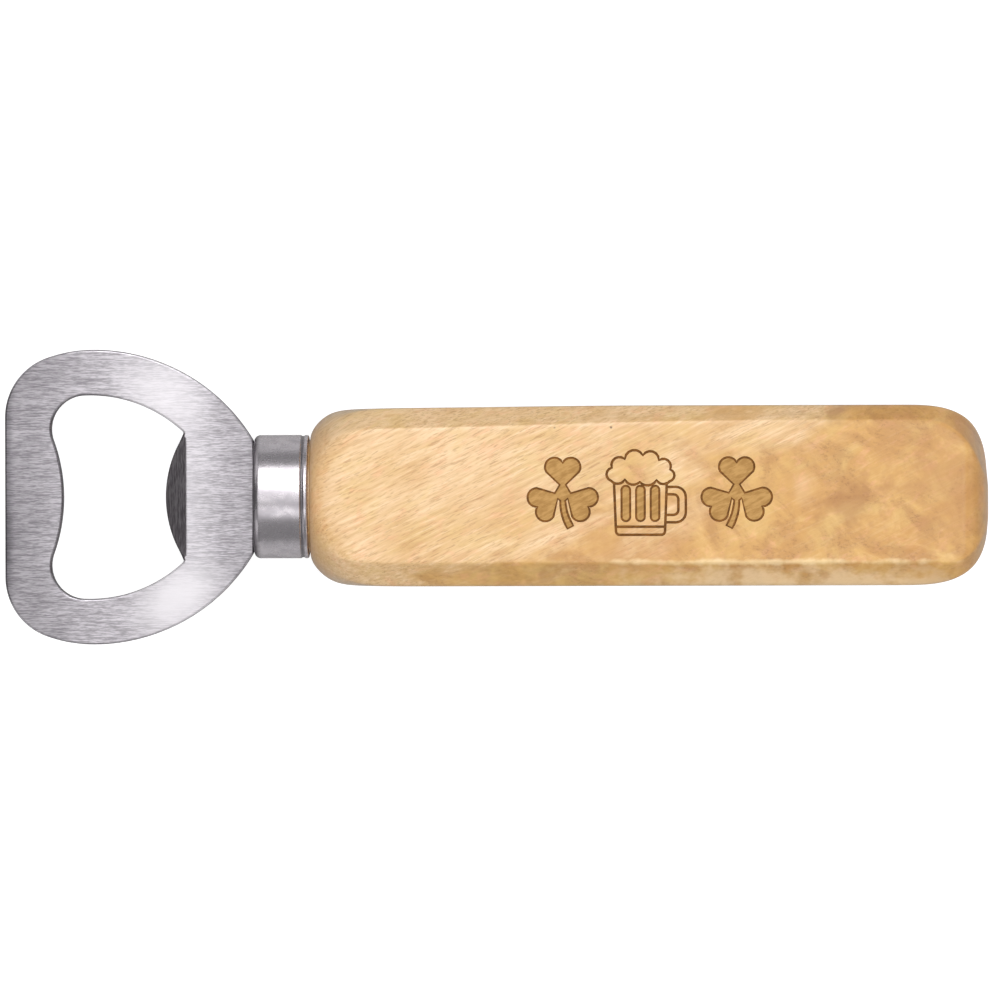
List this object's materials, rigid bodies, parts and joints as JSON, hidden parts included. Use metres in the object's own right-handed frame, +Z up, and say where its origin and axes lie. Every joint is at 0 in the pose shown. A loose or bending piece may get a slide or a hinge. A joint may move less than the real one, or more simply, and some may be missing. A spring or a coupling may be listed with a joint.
{
  "type": "souvenir bottle opener",
  "caption": "Flat steel bottle opener head with a lobed opening and bent lifting tongue, its tang glued through a steel ferrule into a chamfered wooden handle.",
  "frame": {"origin": "on the surface the opener lies on, under the middle of its bounding box", "axes": "+X along the opener from the head to the butt of the handle, +Z up out of the handle's decorated face, +Y across"},
  "size_m": [0.16, 0.048, 0.024],
  "materials": {
    "brushed_stainless": "stainless steel plate, brushed along its length",
    "satin_steel": "drawn steel cup, polished to a satin gloss",
    "lacquered_wood": "pale figured hardwood under satin lacquer, one face with a shallow burnt engraving",
    "epoxy_glue": "cured amber epoxy, hidden in the handle"
  },
  "bodies": {
    "root": {"opener_head": "brushed_stainless", "ferrule": "satin_steel", "handle": "lacquered_wood", "tang_glue": "epoxy_glue"}
  },
  "joints": []
}
